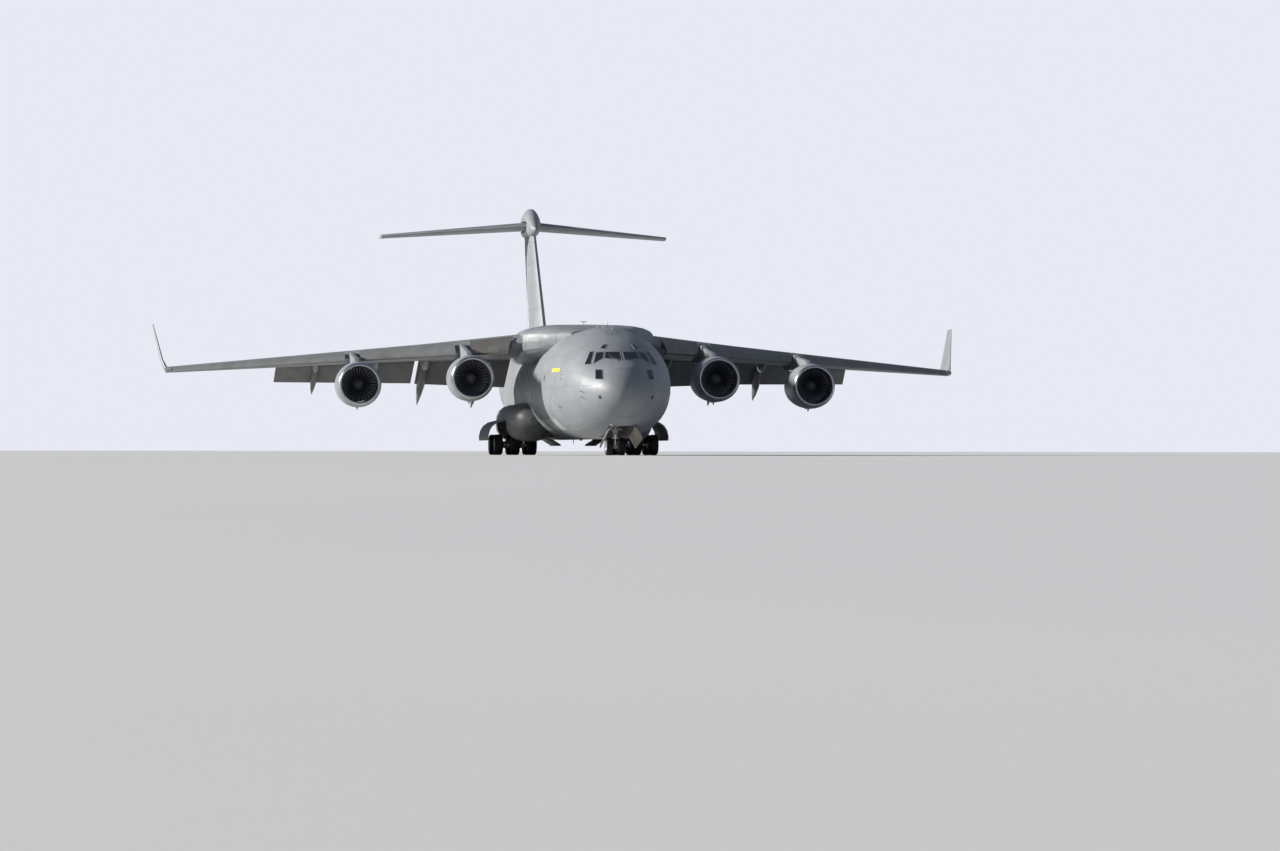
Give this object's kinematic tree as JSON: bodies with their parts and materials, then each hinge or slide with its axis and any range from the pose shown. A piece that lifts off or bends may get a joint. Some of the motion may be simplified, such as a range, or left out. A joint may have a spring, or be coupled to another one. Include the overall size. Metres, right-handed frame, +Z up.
{
  "type": "half-scale military transport aircraft",
  "caption": "High-wing four-engine jet transport with T-tail, loading ramp, drooped flaps and slats, standing on its undercarriage.",
  "frame": {"origin": "on the ground below the middle of the overall length and width", "axes": "+Y towards the tail, +X towards the port wing tip, +Z up; the nose points along -Y"},
  "size_m": [25.8902, 26.52, 8.3822],
  "materials": {
    "paint": "semi-matt grey",
    "flap_paint": "semi-matt darker grey",
    "radome_paint": "matt grey",
    "window": "tinted",
    "cabin": "matt",
    "leg_paint": "gloss light grey",
    "bright_metal": "polished",
    "slat_metal": "bare",
    "fan_metal": "satin dark",
    "tyre": "matt"
  },
  "bodies": {
    "airframe": {"radome": "radome_paint", "forward_fuselage": "paint", "windshield_glass": "window", "flight_deck": "cabin", "centre_fuselage": "paint", "aft_fuselage": "paint", "wing_port": "paint", "gear_pod_port": "paint", "wing_starboard": "paint", "gear_pod_starboard": "paint", "engine_1_port_outer": "paint", "engine_2_port_inner": "paint", "engine_3_starboard_inner": "paint", "engine_4_starboard_outer": "paint", "fin": "paint", "nose_leg": "leg_paint", "main_legs_port": "leg_paint", "main_legs_starboard": "leg_paint"},
    "crew_door": {"crew_door": "paint"},
    "cargo_ramp": {"cargo_ramp": "paint"},
    "cargo_door": {"cargo_door": "paint"},
    "slat_inner_port": {"slat_inner_port": "slat_metal"},
    "slat_middle_port": {"slat_middle_port": "slat_metal"},
    "slat_outer_port": {"slat_outer_port": "slat_metal"},
    "flap_inner_port": {"flap_inner_port": "flap_paint"},
    "flap_outer_port": {"flap_outer_port": "flap_paint"},
    "aileron_port": {"aileron_port": "paint"},
    "spoiler_port": {"spoiler_port": "paint"},
    "main_door_outer_port": {"main_door_outer_port": "paint"},
    "main_door_inner_port": {"main_door_inner_port": "paint"},
    "slat_inner_starboard": {"slat_inner_starboard": "slat_metal"},
    "slat_middle_starboard": {"slat_middle_starboard": "slat_metal"},
    "slat_outer_starboard": {"slat_outer_starboard": "slat_metal"},
    "flap_inner_starboard": {"flap_inner_starboard": "flap_paint"},
    "flap_outer_starboard": {"flap_outer_starboard": "flap_paint"},
    "aileron_starboard": {"aileron_starboard": "paint"},
    "spoiler_starboard": {"spoiler_starboard": "paint"},
    "main_door_outer_starboard": {"main_door_outer_starboard": "paint"},
    "main_door_inner_starboard": {"main_door_inner_starboard": "paint"},
    "fan_1_port_outer": {"fan_1_port_outer": "fan_metal"},
    "fan_2_port_inner": {"fan_2_port_inner": "fan_metal"},
    "fan_3_starboard_inner": {"fan_3_starboard_inner": "fan_metal"},
    "fan_4_starboard_outer": {"fan_4_starboard_outer": "fan_metal"},
    "rudder": {"rudder": "paint"},
    "tailplane": {"tailplane": "paint"},
    "elevator_port": {"elevator_port": "paint"},
    "elevator_starboard": {"elevator_starboard": "paint"},
    "nose_fork": {"nose_fork": "bright_metal"},
    "nose_wheels": {"nose_wheels": "tyre"},
    "nose_door_port": {"nose_door_port": "paint"},
    "nose_door_starboard": {"nose_door_starboard": "paint"},
    "main_wheels_front_port": {"main_wheels_front_port": "tyre"},
    "main_wheels_front_starboard": {"main_wheels_front_starboard": "tyre"},
    "main_wheels_rear_port": {"main_wheels_rear_port": "tyre"},
    "main_wheels_rear_starboard": {"main_wheels_rear_starboard": "tyre"}
  },
  "joints": [
    {"name": "nose_steering", "type": "hinge", "parent": "airframe", "child": "nose_fork", "pos_m": [0, -10.56, 0.5], "axis": [0, 0, 1], "range_deg": [-60, 60]},
    {"name": "nose_wheels_spin", "type": "hinge", "parent": "nose_fork", "child": "nose_wheels", "pos_m": [0, -10.56, 0.254], "axis": [1, 0, 0], "continuous": true},
    {"name": "main_wheels_front_port_spin", "type": "hinge", "parent": "airframe", "child": "main_wheels_front_port", "pos_m": [1.6375, -1.81, 0.3175], "axis": [1, 0, 0], "continuous": true},
    {"name": "main_wheels_front_starboard_spin", "type": "hinge", "parent": "airframe", "child": "main_wheels_front_starboard", "pos_m": [-1.6375, -1.81, 0.3175], "axis": [1, 0, 0], "continuous": true},
    {"name": "main_wheels_rear_port_spin", "type": "hinge", "parent": "airframe", "child": "main_wheels_rear_port", "pos_m": [1.6375, -0.41, 0.3175], "axis": [1, 0, 0], "continuous": true},
    {"name": "main_wheels_rear_starboard_spin", "type": "hinge", "parent": "airframe", "child": "main_wheels_rear_starboard", "pos_m": [-1.6375, -0.41, 0.3175], "axis": [1, 0, 0], "continuous": true},
    {"name": "nose_door_port_joint", "type": "hinge", "parent": "airframe", "child": "nose_door_port", "pos_m": [0.3825, -11.635, 0.6985], "axis": [0, 0.9745, -0.2245], "range_deg": [0, 115]},
    {"name": "nose_door_starboard_joint", "type": "hinge", "parent": "airframe", "child": "nose_door_starboard", "pos_m": [-0.3825, -11.635, 0.6985], "axis": [0, -0.9745, 0.2245], "range_deg": [0, 115]},
    {"name": "main_door_outer_port_joint", "type": "hinge", "parent": "airframe", "child": "main_door_outer_port", "pos_m": [2.2425, -1.11, 1.075], "axis": [0, 1, 0], "range_deg": [0, 12]},
    {"name": "main_door_outer_starboard_joint", "type": "hinge", "parent": "airframe", "child": "main_door_outer_starboard", "pos_m": [-2.2425, -1.11, 1.075], "axis": [0, -1, 0], "range_deg": [0, 12]},
    {"name": "main_door_inner_port_joint", "type": "hinge", "parent": "airframe", "child": "main_door_inner_port", "pos_m": [1.0475, -1.11, 0.54], "axis": [0, 1, 0], "range_deg": [-40, 0]},
    {"name": "main_door_inner_starboard_joint", "type": "hinge", "parent": "airframe", "child": "main_door_inner_starboard", "pos_m": [-1.0475, -1.11, 0.54], "axis": [0, -1, 0], "range_deg": [-40, 0]},
    {"name": "fan_1_spin", "type": "hinge", "parent": "airframe", "child": "fan_1_port_outer", "pos_m": [6.925, -4.285, 2.115], "axis": [0, 1, 0], "continuous": true},
    {"name": "fan_2_spin", "type": "hinge", "parent": "airframe", "child": "fan_2_port_inner", "pos_m": [3.7, -5.935, 2.285], "axis": [0, 1, 0], "continuous": true},
    {"name": "fan_3_spin", "type": "hinge", "parent": "airframe", "child": "fan_3_starboard_inner", "pos_m": [-3.7, -5.935, 2.285], "axis": [0, 1, 0], "continuous": true},
    {"name": "fan_4_spin", "type": "hinge", "parent": "airframe", "child": "fan_4_starboard_outer", "pos_m": [-6.925, -4.285, 2.115], "axis": [0, 1, 0], "continuous": true},
    {"name": "slat_inner_port_joint", "type": "hinge", "parent": "airframe", "child": "slat_inner_port", "pos_m": [2.76, -3.62701, 2.46685], "axis": [0.8984, 0.4383, 0.029], "range_deg": [-15, 0]},
    {"name": "slat_inner_starboard_joint", "type": "hinge", "parent": "airframe", "child": "slat_inner_starboard", "pos_m": [-2.76, -3.62701, 2.46685], "axis": [0.8984, -0.4383, -0.029], "range_deg": [-15, 0]},
    {"name": "slat_middle_port_joint", "type": "hinge", "parent": "airframe", "child": "slat_middle_port", "pos_m": [5.3275, -2.36794, 2.50406], "axis": [0.897, 0.4421, 0.0009], "range_deg": [-18, 0]},
    {"name": "slat_middle_starboard_joint", "type": "hinge", "parent": "airframe", "child": "slat_middle_starboard", "pos_m": [-5.3275, -2.36794, 2.50406], "axis": [0.897, -0.4421, -0.0009], "range_deg": [-18, 0]},
    {"name": "slat_outer_port_joint", "type": "hinge", "parent": "airframe", "child": "slat_outer_port", "pos_m": [9.7575, -0.18085, 2.44893], "axis": [0.8965, 0.4427, -0.0175], "range_deg": [-18, 0]},
    {"name": "slat_outer_starboard_joint", "type": "hinge", "parent": "airframe", "child": "slat_outer_starboard", "pos_m": [-9.7575, -0.18085, 2.44893], "axis": [0.8965, -0.4427, 0.0175], "range_deg": [-18, 0]},
    {"name": "flap_inner_port_joint", "type": "hinge", "parent": "airframe", "child": "flap_inner_port", "pos_m": [3.4, -0.71044, 2.67859], "axis": [0.9671, 0.2545, -0.0076], "range_deg": [0, 39]},
    {"name": "flap_inner_starboard_joint", "type": "hinge", "parent": "airframe", "child": "flap_inner_starboard", "pos_m": [-3.4, -0.71044, 2.67859], "axis": [0.9671, -0.2545, 0.0076], "range_deg": [0, 39]},
    {"name": "flap_outer_port_joint", "type": "hinge", "parent": "airframe", "child": "flap_outer_port", "pos_m": [7.05, 0.40438, 2.61512], "axis": [0.948, 0.3175, -0.0227], "range_deg": [0, 39]},
    {"name": "flap_outer_starboard_joint", "type": "hinge", "parent": "airframe", "child": "flap_outer_starboard", "pos_m": [-7.05, 0.40438, 2.61512], "axis": [0.948, -0.3175, 0.0227], "range_deg": [0, 39]},
    {"name": "aileron_port_joint", "type": "hinge", "parent": "airframe", "child": "aileron_port", "pos_m": [10.55, 1.74979, 2.77675], "axis": [0.9523, 0.2997, -0.0569], "range_deg": [-20, 20]},
    {"name": "aileron_starboard_joint", "type": "hinge", "parent": "airframe", "child": "aileron_starboard", "pos_m": [-10.55, 1.74979, 2.77675], "axis": [0.9523, -0.2997, 0.0569], "range_deg": [-20, 20]},
    {"name": "spoiler_port_joint", "type": "hinge", "parent": "airframe", "child": "spoiler_port", "pos_m": [7.05, 0.13867, 3.11402], "axis": [0.9401, 0.3345, -0.0662], "range_deg": [0, 50]},
    {"name": "spoiler_starboard_joint", "type": "hinge", "parent": "airframe", "child": "spoiler_starboard", "pos_m": [-7.05, 0.13867, 3.11402], "axis": [0.9401, -0.3345, 0.0662], "range_deg": [0, 50]},
    {"name": "crew_door_hinge", "type": "hinge", "parent": "airframe", "child": "crew_door", "pos_m": [1.295, -9.81, 0.925], "axis": [0, 1, 0], "range_deg": [0, 95]},
    {"name": "ramp_hinge", "type": "hinge", "parent": "airframe", "child": "cargo_ramp", "pos_m": [0, 2.5275, 0.515], "axis": [-1, 0, 0], "range_deg": [0, 22]},
    {"name": "cargo_door_hinge", "type": "hinge", "parent": "airframe", "child": "cargo_door", "pos_m": [0, 8.335, 2.085], "axis": [-1, 0, 0], "range_deg": [0, 16]},
    {"name": "rudder_hinge", "type": "hinge", "parent": "airframe", "child": "rudder", "pos_m": [0, 10.38762, 5.575], "axis": [0, 0.4396, 0.8982], "range_deg": [-25, 25]},
    {"name": "tailplane_trim", "type": "hinge", "parent": "airframe", "child": "tailplane", "pos_m": [0, 11.09, 7.725], "axis": [1, 0, 0], "range_deg": [-1.5, 1.5]},
    {"name": "elevator_port_joint", "type": "hinge", "parent": "tailplane", "child": "elevator_port", "pos_m": [2.53, 12.128, 7.642], "axis": [0.9501, 0.3076, -0.0518], "range_deg": [-20, 20]},
    {"name": "elevator_starboard_joint", "type": "hinge", "parent": "tailplane", "child": "elevator_starboard", "pos_m": [-2.53, 12.128, 7.642], "axis": [0.9501, -0.3076, 0.0518], "range_deg": [-20, 20]}
  ]
}
